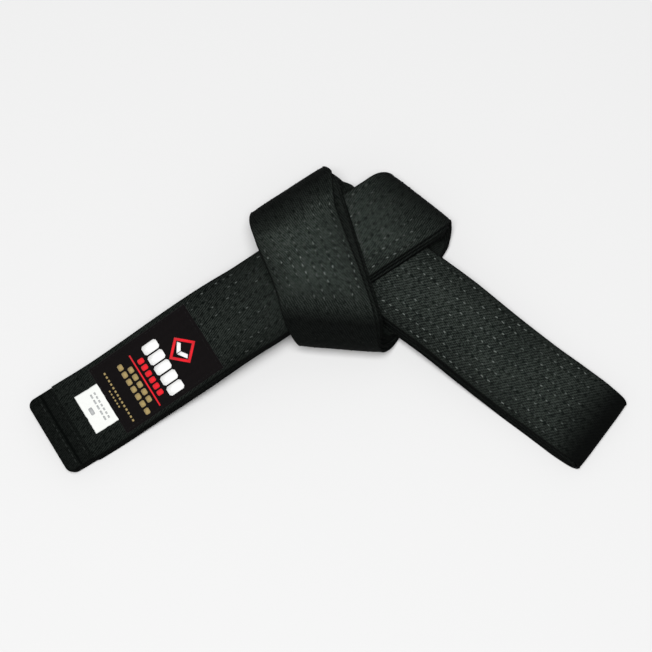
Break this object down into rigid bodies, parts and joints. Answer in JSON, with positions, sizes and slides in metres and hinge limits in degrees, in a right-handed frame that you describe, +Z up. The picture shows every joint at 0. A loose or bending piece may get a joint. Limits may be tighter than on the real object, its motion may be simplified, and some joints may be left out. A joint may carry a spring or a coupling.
{
  "type": "martial arts belt",
  "caption": "Black stitched cotton martial arts belt, folded into a flat stack and tied in an overhand knot, with a sewn label and size tab on one tail.",
  "frame": {"origin": "middle of the footprint, on the surface that the belt lies on", "axes": "+X from the labelled tail to the plain tail, +Y from the tails' ends to the top of the knot, +Z up"},
  "size_m": [0.2995, 0.1548, 0.036],
  "materials": {
    "belt_twill": "black cotton twill with rows of stitching",
    "cotton_core": "plain cotton wadding",
    "belt_thread": "dark grey polyester thread",
    "label_satin": "black woven satin",
    "label_thread": "black thread",
    "size_tab": "white woven tape"
  },
  "bodies": {
    "knot": {"back_band_core": "cotton_core", "back_band_cover": "belt_twill", "bottom_fold_core": "cotton_core", "bottom_fold_cover": "belt_twill", "falling_band_core": "cotton_core", "falling_band_cover": "belt_twill", "front_band_core": "cotton_core", "front_band_cover": "belt_twill", "front_band_stitching": "belt_thread", "right_fold_core": "cotton_core", "right_fold_cover": "belt_twill", "rising_band_core": "cotton_core", "rising_band_cover": "belt_twill", "rising_band_stitching": "belt_thread", "top_left_fold_core": "cotton_core", "top_left_fold_cover": "belt_twill"},
    "left_tail": {"left_tail_core": "cotton_core", "left_tail_cover": "belt_twill", "left_turn_core": "cotton_core", "left_turn_cover": "belt_twill", "plain_end_hem": "belt_twill"},
    "label_end": {"hem_stitching": "belt_thread", "label_end_core": "cotton_core", "label_end_cover": "belt_twill", "label_end_hem": "belt_twill", "label_end_stitching": "belt_thread", "label_stitching": "label_thread", "size_tab": "size_tab", "woven_label": "label_satin"},
    "right_tail": {"inner_turn_core": "cotton_core", "inner_turn_cover": "belt_twill", "outer_turn_core": "cotton_core", "outer_turn_cover": "belt_twill", "right_tail_core": "cotton_core", "right_tail_cover": "belt_twill", "right_tail_stitching": "belt_thread"}
  },
  "joints": [
    {"name": "left_tail_lift", "type": "hinge", "parent": "knot", "child": "left_tail", "pos_m": [-0.0376, 0.00422, 0.0267], "axis": [-0.5329, 0.8462, 0], "range_deg": [0, 60]},
    {"name": "label_end_lift", "type": "hinge", "parent": "left_tail", "child": "label_end", "pos_m": [-0.05452, -0.00644, 0.02517], "axis": [-0.5329, 0.8462, 0], "range_deg": [0, 35]},
    {"name": "right_tail_lift", "type": "hinge", "parent": "knot", "child": "right_tail", "pos_m": [0.05415, 0.00651, 0.0177], "axis": [-0.6088, -0.7934, 0], "range_deg": [0, 60]}
  ]
}
